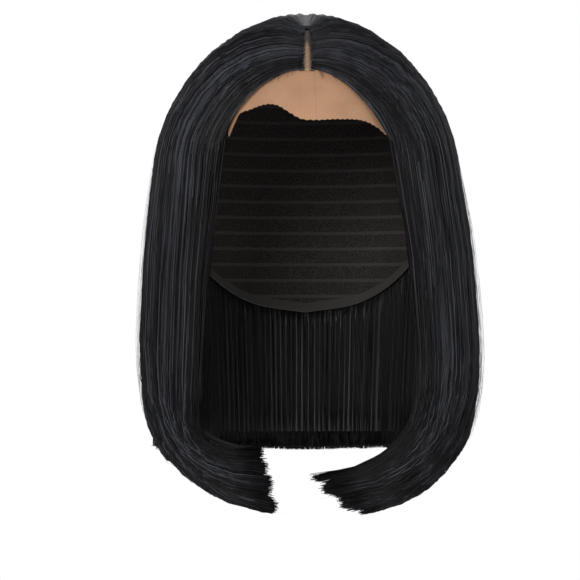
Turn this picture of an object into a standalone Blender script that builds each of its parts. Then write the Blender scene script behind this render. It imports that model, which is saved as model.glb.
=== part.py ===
"""Lace-front bob wig with a centre part, as closed solids in metres.

The origin is the inside top of the cap, where the crown of a head touches it. +Z is up, -Y is the way
the face looks, and +X is the wearer's left. The cap follows a head form. The hair is combed in strands:
each one leaves the part, lies over the cap in an upright plane, falls from the widest level of the head,
and curls in at its end. The same strand rule makes the two side curtains and the back of the hair.
"""
import math

import bmesh
import bpy

# Head form that the cap fits
HEAD_HALF_WIDTH = 0.0730
HEAD_FRONT = 0.0940
HEAD_BACK = 0.1000
HEAD_RISE = 0.0850
HEAD_NECK_FALL = 0.1000
HEAD_PROFILE_POWER = 2.3
HEAD_PLAN_POWER = 2.2

# Cap and lace
CAP_WALL = 0.0010
LACE_WALL = 0.0010
SEAM_GAP = 0.0009
STRIP_GAP = 0.0004
LACE_END_DEG = 78.75
LACE_TIP_LIFT = 0.0030
LACE_TIP_POWER = 4.0
PART_STRIP_WALL = 0.0008

# Room between the cap and the hair, and how deep the hair lies over it
HAIR_GAP = 0.0012
CROWN_DEPTH = 0.0078
SIDE_DEPTH = 0.0119
FRONT_DEPTH = 0.0054
BACK_DEPTH = 0.0085
HAIR_PROFILE_POWER = 1.90

# Parting: where it starts and ends, and its half width at both ends
PART_FRONT = 0.0780
PART_BACK = 0.0400
PART_HALF_FRONT = 0.0044
PART_HALF_BACK = 0.0029
ROOT_DEPTH_SHARE = 0.35
ROOT_ROLL = 0.0140

# Length below the cap's top, and the ring that the hair reaches before it curls
HAIR_LENGTH = 0.2700
HEM_SIDE_FLARE = 0.0095
HEM_FRONT_SWEEP = 0.0160
HEM_BACK_SWEEP = 0.0060
HEM_SHIFT = 0.0022
HEM_PLAN_POWER = 2.6
HEM_DEPTH_EDGE = 0.0030
HEM_DEPTH_SIDE = 0.0110
HEM_DEPTH_FULL_DEG = 70.0
TIP_DEPTH = 0.0045
TIP_BACK_LEAN_DEG = 40.0
FALL_POWER = 1.60
FLARE_START = 0.30
FLARE_END_DEG = 95.0
BACK_FALL_DEG = 140.0
CURL_END_DEG = 82.0
CURL_EDGE_POWER = 1.25
DOME_INSET = 0.0014

# Where the side curtains end and the back of the hair starts
FACE_EDGE_DEG = 29.0
SIDE_BACK_DEG = 118.0
PANEL_GAP = 0.0005

# Locks that ridge the outer surface
LOCK_DEG = 13.0
LOCK_SHARE = 0.10

# Layer that hangs from the nape under the back of the hair
NAPE_EDGE_DEG = 110.0
NAPE_TOP_SHARE = 0.55
NAPE_DEPTH = 0.0050
NAPE_TAPER = 0.0060
NAPE_LENGTH = 0.2360

# Shares of the way down a strand at which the dome ends and the curl starts, and of the way down the
# nape layer at which it leaves the head
DOME_SHARE = 0.50
CURL_SHARE = 0.75
NAPE_REST_SHARE = 0.50
SHARP_DEG = 50.0

# Faces across and along each sheet
CAP_GRID = (32, 12)
LACE_GRID = (56, 4)
STRIP_GRID = (2, 12)
SIDE_GRID = (31, 20)
BACK_GRID = (30, 20)
NAPE_GRID = (22, 6)

# The cap's rim: direction round the head, and tilt from the crown
RIM = (
    (0.0, 40.0),
    (30.0, 48.0),
    (55.0, 66.0),
    (76.0, 91.0),
    (92.0, 93.0),
    (112.0, 112.0),
    (145.0, 130.0),
    (180.0, 136.0),
)

# The lace's wavy front edge: direction round the head (minus is the wearer's right), tilt, and lift
# as a share of LACE_TIP_LIFT where the loose tip stands off the head
LACE_EDGE = (
    (-80.0, 98.0, 0.0),
    (-60.0, 94.0, 0.0),
    (-46.0, 84.0, 0.0),
    (-39.0, 77.5, 0.0),
    (-35.5, 75.5, 0.0),
    (-33.2, 77.5, 0.4),
    (-31.2, 79.0, 1.0),
    (-28.7, 71.5, 0.4),
    (-25.0, 69.5, 0.0),
    (-17.0, 67.3, 0.0),
    (-11.4, 67.8, 0.0),
    (-6.0, 70.8, 0.0),
    (-1.0, 73.3, 0.0),
    (11.8, 73.1, 0.0),
    (22.7, 73.4, 0.0),
    (29.9, 75.8, 0.0),
    (33.6, 78.0, 0.0),
    (38.7, 79.5, 0.0),
    (46.0, 84.0, 0.0),
    (60.0, 94.0, 0.0),
    (80.0, 98.0, 0.0),
)

# Strands by their direction at the widest level: how far back along the part they start, their
# direction at the hem, where the curl starts and the tip ends as shares of HAIR_LENGTH, and the tip's
# direction and reach as a share of the hem ring. One table for each side.
STRANDS = {
    -1: (
        (29.0, 0.00, 39.5, 0.800, 0.870, 20.6, 0.870),
        (42.0, 0.18, 48.5, 0.755, 0.915, 20.8, 0.800),
        (57.0, 0.40, 60.0, 0.700, 0.960, 21.2, 0.730),
        (70.0, 0.58, 71.0, 0.675, 1.000, 22.5, 0.670),
        (85.0, 0.76, 85.0, 0.690, 0.950, 62.0, 0.580),
        (101.0, 0.90, 101.0, 0.759, 0.885, 100.0, 0.800),
        (118.0, 1.00, 118.0, 0.763, 0.893, 118.0, 0.850),
        (180.0, 1.00, 180.0, 0.770, 0.905, 180.0, 0.880),
    ),
    1: (
        (29.0, 0.00, 38.5, 0.700, 0.925, 4.5, 0.848),
        (42.0, 0.18, 48.5, 0.695, 0.952, 9.0, 0.785),
        (57.0, 0.40, 61.0, 0.690, 0.980, 18.5, 0.733),
        (70.0, 0.58, 72.0, 0.685, 1.000, 31.0, 0.705),
        (85.0, 0.76, 85.0, 0.700, 0.960, 64.0, 0.640),
        (101.0, 0.90, 101.0, 0.752, 0.893, 100.0, 0.865),
        (118.0, 1.00, 118.0, 0.763, 0.893, 118.0, 0.888),
        (180.0, 1.00, 180.0, 0.770, 0.905, 180.0, 0.880),
    ),
}

# Colours as linear red, green and blue
HAIR_COLOUR = (0.0085, 0.0088, 0.0105, 1.0)
UNDER_COLOUR = (0.0050, 0.0050, 0.0060, 1.0)
LACE_COLOUR = (0.4400, 0.2430, 0.1370, 1.0)
CAP_COLOUR = (0.0200, 0.0160, 0.0140, 1.0)
HAIR_ROUGHNESS = 0.38
CLOTH_ROUGHNESS = 0.85

BROW_LEVEL = -HEAD_RISE
INNER_OFFSET = CAP_WALL + HAIR_GAP


def blend(low, high, share):
    return low + (high - low) * share


def ease(share):
    held = min(1.0, max(0.0, share))
    return held * held * (3.0 - 2.0 * held)


def read_table(rows, key):
    """Values of a table's other columns at a key, on a smooth curve through its rows."""
    last = len(rows) - 2
    place = next((i for i in range(last) if key < rows[i + 1][0]), last)
    low, high = rows[place], rows[place + 1]
    before = rows[max(place - 1, 0)]
    after = rows[min(place + 2, len(rows) - 1)]
    step = high[0] - low[0]
    share = (key - low[0]) / step
    values = []
    for column in range(1, len(low)):
        run_in = (high[column] - before[column]) / (high[0] - before[0]) * step
        run_out = (after[column] - low[column]) / (after[0] - low[0]) * step
        square, cube = share * share, share * share * share
        values.append(
            low[column] * (2.0 * cube - 3.0 * square + 1.0)
            + run_in * (cube - 2.0 * square + share)
            + high[column] * (3.0 * square - 2.0 * cube)
            + run_out * (cube - square)
        )
    return values


def signed_power(value, power):
    return math.copysign(abs(value) ** power, value)


def head_point(direction_deg, tilt_deg, offset):
    """Point on the head form, grown by offset, from its direction (0 is the face) and its tilt."""
    direction, tilt = math.radians(direction_deg), math.radians(tilt_deg)
    rise = HEAD_RISE + offset if tilt_deg <= 90.0 else HEAD_NECK_FALL + offset
    level = signed_power(math.cos(tilt), 2.0 / HEAD_PROFILE_POWER)
    spread = abs(math.sin(tilt)) ** (2.0 / HEAD_PROFILE_POWER)
    depth = HEAD_FRONT if math.cos(direction) > 0.0 else HEAD_BACK
    across = signed_power(math.sin(direction), 2.0 / HEAD_PLAN_POWER)
    along = signed_power(math.cos(direction), 2.0 / HEAD_PLAN_POWER)
    return (
        (HEAD_HALF_WIDTH + offset) * spread * across,
        -(depth + offset) * spread * along,
        BROW_LEVEL + rise * level,
    )


def ring_point(side, direction_deg, half_width, front, back, power):
    """Point on a level ring in a direction from its middle, 0 to 180 degrees on either side."""
    across = math.sin(math.radians(direction_deg))
    along = math.cos(math.radians(direction_deg))
    depth = front if along > 0.0 else back
    size = ((across / half_width) ** power + (abs(along) / depth) ** power) ** (-1.0 / power)
    return side * across * size, -along * size


class Surface:
    """One face of the hair: its sizes over the head, and how it reads a strand."""

    def __init__(self, offsets, power, hem_share):
        crown, side, front, back = offsets
        self.rise = HEAD_RISE + crown
        self.half_width = HEAD_HALF_WIDTH + side
        self.front = HEAD_FRONT + front
        self.back = HEAD_BACK + back
        self.power = power
        self.hem_share = hem_share

    def height(self, x, y):
        depth = self.front if y < 0.0 else self.back
        plan = (abs(x) / self.half_width) ** HEAD_PLAN_POWER + (abs(y) / depth) ** HEAD_PLAN_POWER
        plan = min(1.0, plan ** (1.0 / HEAD_PLAN_POWER))
        return BROW_LEVEL + self.rise * (1.0 - plan ** self.power) ** (1.0 / self.power)

    def brow(self, side, direction_deg):
        return ring_point(
            side, direction_deg, self.half_width, self.front, self.back, HEAD_PLAN_POWER
        )


INNER = Surface((INNER_OFFSET,) * 4, HEAD_PROFILE_POWER, 0.0)
OUTER = Surface(
    (
        INNER_OFFSET + CROWN_DEPTH,
        INNER_OFFSET + SIDE_DEPTH,
        INNER_OFFSET + FRONT_DEPTH,
        INNER_OFFSET + BACK_DEPTH,
    ),
    HAIR_PROFILE_POWER,
    1.0,
)
HEM_HALF_WIDTH = OUTER.half_width + HEM_SIDE_FLARE
HEM_FRONT = OUTER.front - HEM_FRONT_SWEEP
HEM_BACK = OUTER.back - HEM_BACK_SWEEP


def hem_point(side, direction_deg, reach, inset):
    """Point on the hem ring, drawn in to a share of its size, less an inset in metres."""
    x, y = ring_point(
        side, direction_deg, HEM_HALF_WIDTH, HEM_FRONT, HEM_BACK, HEM_PLAN_POWER
    )
    keep = reach - inset / math.hypot(x, y)
    return x * keep + HEM_SHIFT, y * keep


def root_point(side, ring_deg, root):
    """Start of a strand: along the part, or on a half circle round its back end."""
    if ring_deg <= SIDE_BACK_DEG:
        x = side * blend(PART_HALF_FRONT, PART_HALF_BACK, root)
        return x, -blend(PART_FRONT, PART_BACK + PANEL_GAP / 2.0, root)
    turn = (ring_deg - SIDE_BACK_DEG) / (180.0 - SIDE_BACK_DEG) * math.pi / 2.0
    x = side * PART_HALF_BACK * math.cos(turn)
    return x, -PART_BACK + PANEL_GAP / 2.0 + PART_HALF_BACK * math.sin(turn)


def strand_on(surface, side, ring_deg, along):
    """Point of a strand on the inner or outer face, and how far it is from the root in plan."""
    root, hem_deg, curl_top, tip_level, tip_deg, tip_reach = read_table(STRANDS[side], ring_deg)
    start = root_point(side, ring_deg, root)
    brow = surface.brow(side, ring_deg)
    reach = 1.0 - DOME_INSET / math.hypot(*brow)
    edge = (brow[0] * reach, brow[1] * reach)
    if along <= DOME_SHARE:
        share = math.sin(along / DOME_SHARE * math.pi / 2.0)
        x, y = blend(start[0], edge[0], share), blend(start[1], edge[1], share)
        return (x, y, surface.height(x, y)), math.hypot(x - start[0], y - start[1])
    full = ease((ring_deg - FACE_EDGE_DEG) / (HEM_DEPTH_FULL_DEG - FACE_EDGE_DEG))
    inset = blend(HEM_DEPTH_EDGE, HEM_DEPTH_SIDE, full) * (1.0 - surface.hem_share)
    hem = hem_point(side, hem_deg, 1.0, inset)
    top, curl = surface.height(*edge), -curl_top * HAIR_LENGTH
    if along <= CURL_SHARE:
        share = (along - DOME_SHARE) / (CURL_SHARE - DOME_SHARE)
        level = blend(top, curl, share)
        past = min(1.0, (top - level) / (top - BROW_LEVEL))
        keep = 1.0 - (1.0 - reach) * (1.0 - past) * (1.0 - past)
        flare = (1.0 - (1.0 - share) ** FALL_POWER) * ease(share / FLARE_START)
        behind = ease((ring_deg - FLARE_END_DEG) / (BACK_FALL_DEG - FLARE_END_DEG))
        out = blend(flare, share * share, behind)
        x, y = blend(brow[0] * keep, hem[0], out), blend(brow[1] * keep, hem[1], out)
        return (x, y, level), ROOT_ROLL
    turn = (along - CURL_SHARE) / (1.0 - CURL_SHARE) * math.radians(CURL_END_DEG)
    across = (1.0 - math.cos(turn)) / (1.0 - math.cos(math.radians(CURL_END_DEG)))
    across = across ** blend(CURL_EDGE_POWER, 1.0, full)
    down = math.sin(turn) / math.sin(math.radians(CURL_END_DEG))
    lean = math.radians(TIP_BACK_LEAN_DEG)
    depth = TIP_DEPTH * (1.0 - surface.hem_share)
    tip = hem_point(side, tip_deg, tip_reach, depth * math.cos(lean))
    tip_z = -tip_level * HAIR_LENGTH + depth * math.sin(lean)
    x, y = blend(hem[0], tip[0], across), blend(hem[1], tip[1], across)
    return (x, y, blend(curl, tip_z, down)), ROOT_ROLL


def strand_point(side, ring_deg, along, depth):
    """Point in the hair: depth 0 is its inner face and 1 its outer face, with the locks' grooves."""
    inner, _ = strand_on(INNER, side, ring_deg, along)
    outer, away = strand_on(OUTER, side, ring_deg, along)
    grown = blend(ROOT_DEPTH_SHARE, 1.0, ease(away / ROOT_ROLL))
    groove = 0.5 - 0.5 * math.cos(2.0 * math.pi * (ring_deg - FACE_EDGE_DEG) / LOCK_DEG)
    reach = depth * grown * (1.0 - LOCK_SHARE * groove)
    return tuple(blend(low, high, reach) for low, high in zip(inner, outer))


def cap_place(direction_deg, share, depth):
    """Point of the cap: share 0 is its crown and 1 its rim."""
    (rim_tilt,) = read_table(RIM, abs(direction_deg))
    return head_point(direction_deg, rim_tilt * share, CAP_WALL * depth)


def lace_place(across, down, depth):
    """Point of the front lace, from the cap's rim down to the wavy edge."""
    direction = blend(-LACE_END_DEG, LACE_END_DEG, across)
    (seam_tilt,) = read_table(RIM, abs(direction))
    edge_tilt, lift = read_table(LACE_EDGE, direction)
    seam_tilt += math.degrees(SEAM_GAP / HEAD_RISE)
    offset = CAP_WALL - LACE_WALL * (1.0 - depth) + lift * LACE_TIP_LIFT * down ** LACE_TIP_POWER
    return head_point(direction, blend(seam_tilt, edge_tilt, down), offset)


def strip_place(across, back, depth):
    """Point of the parting strip, which lies on the cap and the lace between the curtains."""
    half = blend(PART_HALF_FRONT, PART_HALF_BACK, back) - STRIP_GAP
    x = blend(-half, half, across)
    y = -blend(PART_FRONT, PART_BACK + PANEL_GAP, back)
    lift = CAP_WALL + STRIP_GAP + PART_STRIP_WALL * depth
    return x, y, Surface((lift,) * 4, HEAD_PROFILE_POWER, 0.0).height(x, y)


def side_place(side):
    def place(across, along, depth):
        gap = math.degrees(PANEL_GAP / 2.0 / HEM_HALF_WIDTH)
        return strand_point(side, blend(FACE_EDGE_DEG, SIDE_BACK_DEG - gap, across), along, depth)

    return place


def back_place(across, along, depth):
    """Point of the back of the hair, from the right curtain round to the left one."""
    gap = math.degrees(PANEL_GAP / 2.0 / HEM_HALF_WIDTH)
    turn = blend(SIDE_BACK_DEG + gap, 360.0 - SIDE_BACK_DEG - gap, across)
    if turn <= 180.0:
        return strand_point(-1, turn, along, depth)
    return strand_point(1, 360.0 - turn, along, depth)


def nape_place(across, along, depth):
    """Point of the under layer: it starts on the cap above the nape and hangs to its own length."""
    turn = blend(NAPE_EDGE_DEG, 360.0 - NAPE_EDGE_DEG, across)
    side, direction = (-1, turn) if turn <= 180.0 else (1, 360.0 - turn)
    (rim_tilt,) = read_table(RIM, direction)
    top_tilt = blend(90.0, rim_tilt, NAPE_TOP_SHARE)
    rest = min(1.0, along / NAPE_REST_SHARE)
    offset = INNER_OFFSET + NAPE_DEPTH * depth * blend(ROOT_DEPTH_SHARE, 1.0, ease(rest))
    top = head_point(side * direction, top_tilt, offset)
    rim = head_point(side * direction, rim_tilt, offset)
    if along <= NAPE_REST_SHARE:
        return head_point(side * direction, blend(top_tilt, rim_tilt, rest), offset)
    down = (along - NAPE_REST_SHARE) / (1.0 - NAPE_REST_SHARE)
    keep = 1.0 - NAPE_TAPER / math.hypot(top[0], top[1]) * down
    return rim[0] * keep, rim[1] * keep, blend(rim[2], -NAPE_LENGTH, down)


def finish(name, colour, roughness):
    """A plain material for one node."""
    material = bpy.data.materials.new(name + "_finish")
    material.use_nodes = True
    shader = material.node_tree.nodes["Principled BSDF"]
    shader.inputs["Base Color"].default_value = colour
    shader.inputs["Roughness"].default_value = roughness
    shader.inputs["Metallic"].default_value = 0.0
    return material


def close_sheet(bm, name, place, material, collection):
    """Makes a solid of a sheet whose vertices hold (across, along, 0), with place giving real points."""
    grown = bmesh.ops.extrude_face_region(bm, geom=bm.faces[:], use_keep_orig=True)
    for item in grown["geom"]:
        if isinstance(item, bmesh.types.BMVert):
            item.co.z = 1.0
    for vert in bm.verts:
        vert.co = place(vert.co.x, vert.co.y, vert.co.z)
    bmesh.ops.recalc_face_normals(bm, faces=bm.faces[:])
    if bm.calc_volume(signed=True) < 0.0:
        bmesh.ops.reverse_faces(bm, faces=bm.faces[:])
    mesh = bpy.data.meshes.new(name)
    bm.to_mesh(mesh)
    bm.free()
    mesh.shade_smooth()
    mesh.set_sharp_from_angle(angle=math.radians(SHARP_DEG))
    mesh.materials.append(material)
    item = bpy.data.objects.new(name, mesh)
    collection.objects.link(item)
    return item


def make_panel(name, grid, place, colour, roughness, collection):
    """A solid panel from a grid sheet whose sides run from 0 to 1."""
    bm = bmesh.new()
    bmesh.ops.create_grid(bm, x_segments=grid[0], y_segments=grid[1], size=0.5)
    for vert in bm.verts:
        vert.co = (vert.co.x + 0.5, vert.co.y + 0.5, 0.0)
    return close_sheet(bm, name, place, finish(name, colour, roughness), collection)


def make_cap(name, grid, colour, roughness, collection):
    """The cap: the upper half of a sphere, drawn down to the rim and over the head form."""
    bm = bmesh.new()
    bmesh.ops.create_uvsphere(bm, u_segments=grid[0], v_segments=grid[1] * 2, radius=1.0)
    low = [vert for vert in bm.verts if vert.co.z < -math.sin(math.pi / 8.0 / grid[1])]
    bmesh.ops.delete(bm, geom=low, context="VERTS")
    for vert in bm.verts:
        direction = math.degrees(math.atan2(vert.co.x, -vert.co.y))
        share = math.acos(min(1.0, max(-1.0, vert.co.z))) / (math.pi / 2.0)
        vert.co = (direction, share, 0.0)
    return close_sheet(bm, name, cap_place, finish(name, colour, roughness), collection)


def clear_scene():
    for item in list(bpy.data.objects):
        bpy.data.objects.remove(item, do_unlink=True)


def main():
    clear_scene()
    wig = bpy.data.collections.new("bob_wig")
    bpy.context.scene.collection.children.link(wig)
    make_cap("cap", CAP_GRID, CAP_COLOUR, CLOTH_ROUGHNESS, wig)
    make_panel("lace_front", LACE_GRID, lace_place, LACE_COLOUR, CLOTH_ROUGHNESS, wig)
    make_panel("part_strip", STRIP_GRID, strip_place, LACE_COLOUR, CLOTH_ROUGHNESS, wig)
    make_panel("hair_right", SIDE_GRID, side_place(-1), HAIR_COLOUR, HAIR_ROUGHNESS, wig)
    make_panel("hair_left", SIDE_GRID, side_place(1), HAIR_COLOUR, HAIR_ROUGHNESS, wig)
    make_panel("hair_back", BACK_GRID, back_place, HAIR_COLOUR, HAIR_ROUGHNESS, wig)
    make_panel("hair_nape", NAPE_GRID, nape_place, UNDER_COLOUR, HAIR_ROUGHNESS, wig)


main()
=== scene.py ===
"""Looks of a straight bob wig with a centre part and a lace front.

The hair is made of many fine closed strands over shells of streaked hair. Every strand follows one rule:
it leaves the part, lies over the cap in an upright plane, falls from the widest level of the head, and
curls in at its end. Lengths are in metres, +Z is up and -Y is the way the face looks. A pair named from
is a start and a length, over which a value eases from 0 to 1.
"""

import logging
import math
from dataclasses import dataclass
from enum import Enum
from typing import Callable

import bmesh
import bpy
import numpy as np
from bpy.types import Material, Mesh, Node, NodeSocket, NodeTree, Object
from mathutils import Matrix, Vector


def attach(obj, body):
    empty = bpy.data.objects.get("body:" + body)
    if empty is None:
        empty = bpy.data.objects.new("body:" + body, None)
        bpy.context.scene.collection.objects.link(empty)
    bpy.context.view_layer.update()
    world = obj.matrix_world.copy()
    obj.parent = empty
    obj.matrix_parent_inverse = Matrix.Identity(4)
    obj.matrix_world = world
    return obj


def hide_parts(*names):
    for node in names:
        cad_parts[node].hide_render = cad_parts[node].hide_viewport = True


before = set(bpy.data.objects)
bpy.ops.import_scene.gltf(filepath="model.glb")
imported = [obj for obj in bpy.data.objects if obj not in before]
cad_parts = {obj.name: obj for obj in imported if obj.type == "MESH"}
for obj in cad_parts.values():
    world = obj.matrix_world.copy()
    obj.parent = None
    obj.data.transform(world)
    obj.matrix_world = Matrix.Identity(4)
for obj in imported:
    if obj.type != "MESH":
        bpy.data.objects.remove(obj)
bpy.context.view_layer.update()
LOG = logging.getLogger("bob_wig")
BODY = "root"
SEED = 20240
NOISE_SEED, NOISE_SIZE = 7, 4096
FINE_STEPS = 97
SHARP_DEG = 50.0
TINY = 1e-12
# A point inside the hair, which the strands' first edges face away from
HAIR_MIDDLE = (0.0, 0.0, -0.11)
# The hair's radius where its panels meet
BACK_RADIUS = 0.0975

Array = np.ndarray
Random = np.random.Generator
Pair = tuple[float, float]
Triple = tuple[float, float, float]
Plan = tuple[Array, Array]
Table = tuple[tuple[float, ...], ...]
Place = Callable[[Array, Array, Array], Array]


class Depth(Enum):
    """Faces of the hair mass."""

    INNER = 0
    OUTER = 1


def blend(low: Array, high: Array, share: Array) -> Array:
    """Mixes two values by a share."""
    return low + (high - low) * share


def ease(share: Array) -> Array:
    """Smooth step of a share held between 0 and 1."""
    held = np.clip(share, 0.0, 1.0)
    return held * held * (3.0 - 2.0 * held)


def over(value: Array, span: Pair) -> Array:
    """Eases from 0 to 1 over a span, given as its start and length."""
    return ease((value - span[0]) / span[1])


def signed_power(value: Array, power: float) -> Array:
    """Power of a value's size, with the value's sign."""
    return np.sign(value) * np.abs(value) ** power


def signed_turn(turn: Array) -> Array:
    """Turns of 0 to 360 degrees as ones of -180 to 180."""
    return np.where(turn > 180.0, turn - 360.0, turn)


def read_table(rows: Table, key: Array) -> Array:
    """Reads a table's columns at some keys, on a smooth curve through its rows.

    Args:
        rows: the table, whose first column is the key.
        key: where to read it.

    Returns:
        The other columns, on the last axis.
    """
    table = np.asarray(rows, float)
    keys = np.asarray(key, float)
    place = np.clip(np.searchsorted(table[:, 0], keys, side="right") - 1, 0, len(table) - 2)
    low, high = table[place], table[place + 1]
    before, after = table[np.maximum(place - 1, 0)], table[np.minimum(place + 2, len(table) - 1)]
    step = (high - low)[..., :1]
    share = (keys[..., None] - low[..., :1]) / step
    run_in = (high - before)[..., 1:] / (high - before)[..., :1] * step
    run_out = (after - low)[..., 1:] / (after - low)[..., :1] * step
    square, cube = share**2, share**3
    return (
        low[..., 1:] * (2.0 * cube - 3.0 * square + 1.0)
        + run_in * (cube - 2.0 * square + share)
        + high[..., 1:] * (3.0 * square - 2.0 * cube)
        + run_out * (cube - square)
    )


@dataclass(frozen=True)
class HeadForm:
    """The head form that the cap fits, with the cap's rim."""

    half_width: float = 0.0730
    front: float = 0.0940
    back: float = 0.1000
    rise: float = 0.0850
    neck_fall: float = 0.1000
    profile_power: float = 2.3
    plan_power: float = 2.2
    cap_wall: float = 0.0010
    # Direction round the head and tilt from the crown
    rim: Table = (
        (0.0, 40.0), (30.0, 48.0), (55.0, 66.0), (76.0, 91.0),
        (92.0, 93.0), (112.0, 112.0), (145.0, 130.0), (180.0, 136.0),
    )

    def point(self, direction: Array, tilt: Array, offset: Array) -> Array:
        """Points on the head form, grown by an offset.

        Args:
            direction: degrees round the head, 0 at the face and minus on the wearer's right.
            tilt: degrees from the crown.
            offset: how far the form is grown.

        Returns:
            The points, on the last axis.
        """
        turn, lean = np.radians(direction), np.radians(tilt)
        rise = np.where(np.asarray(tilt) <= 90.0, self.rise, self.neck_fall) + offset
        spread = np.abs(np.sin(lean)) ** (2.0 / self.profile_power)
        depth = np.where(np.cos(turn) > 0.0, self.front, self.back) + offset
        x = (self.half_width + offset) * spread * signed_power(np.sin(turn), 2.0 / self.plan_power)
        y = -depth * spread * signed_power(np.cos(turn), 2.0 / self.plan_power)
        z = -self.rise + rise * signed_power(np.cos(lean), 2.0 / self.profile_power)
        return np.stack(np.broadcast_arrays(x, y, z), axis=-1)

    @property
    def size(self) -> tuple[float, float, float, float]:
        """Rise, half width, front and back."""
        return self.rise, self.half_width, self.front, self.back

    def rim_tilt(self, direction: Array) -> Array:
        """Tilt of the cap's rim in a direction."""
        return read_table(self.rim, np.abs(direction))[..., 0]


def ring_point(sign: Array, direction: Array, size: Triple, power: float) -> Plan:
    """Points of a level ring.

    Args:
        sign: the side, -1 or 1.
        direction: degrees from the face, 0 to 180.
        size: half width, front and back of the ring.
        power: how square the ring is.

    Returns:
        The points' x and y.
    """
    across, along = np.sin(np.radians(direction)), np.cos(np.radians(direction))
    depth = np.where(along > 0.0, size[1], size[2])
    reach = ((across / size[0]) ** power + (np.abs(along) / depth) ** power) ** (-1.0 / power)
    return sign * across * reach, -along * reach


@dataclass(frozen=True)
class Surface:
    """A domed face over the head form."""

    rise: Array | float
    half_width: Array | float
    front: Array | float
    back: Array | float
    power: float
    plan_power: float
    brow: float

    def height(self, x: Array, y: Array) -> Array:
        """Works out how high the face is above points of the plan.

        Args:
            x: the points' places across.
            y: the points' places from front to back.

        Returns:
            The heights.
        """
        depth = np.where(y < 0.0, self.front, self.back)
        plan = (np.abs(x) / self.half_width) ** self.plan_power + (np.abs(y) / depth) ** self.plan_power
        plan = np.minimum(1.0, plan ** (1.0 / self.plan_power))
        return self.brow + self.rise * (1.0 - plan**self.power) ** (1.0 / self.power)


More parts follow.
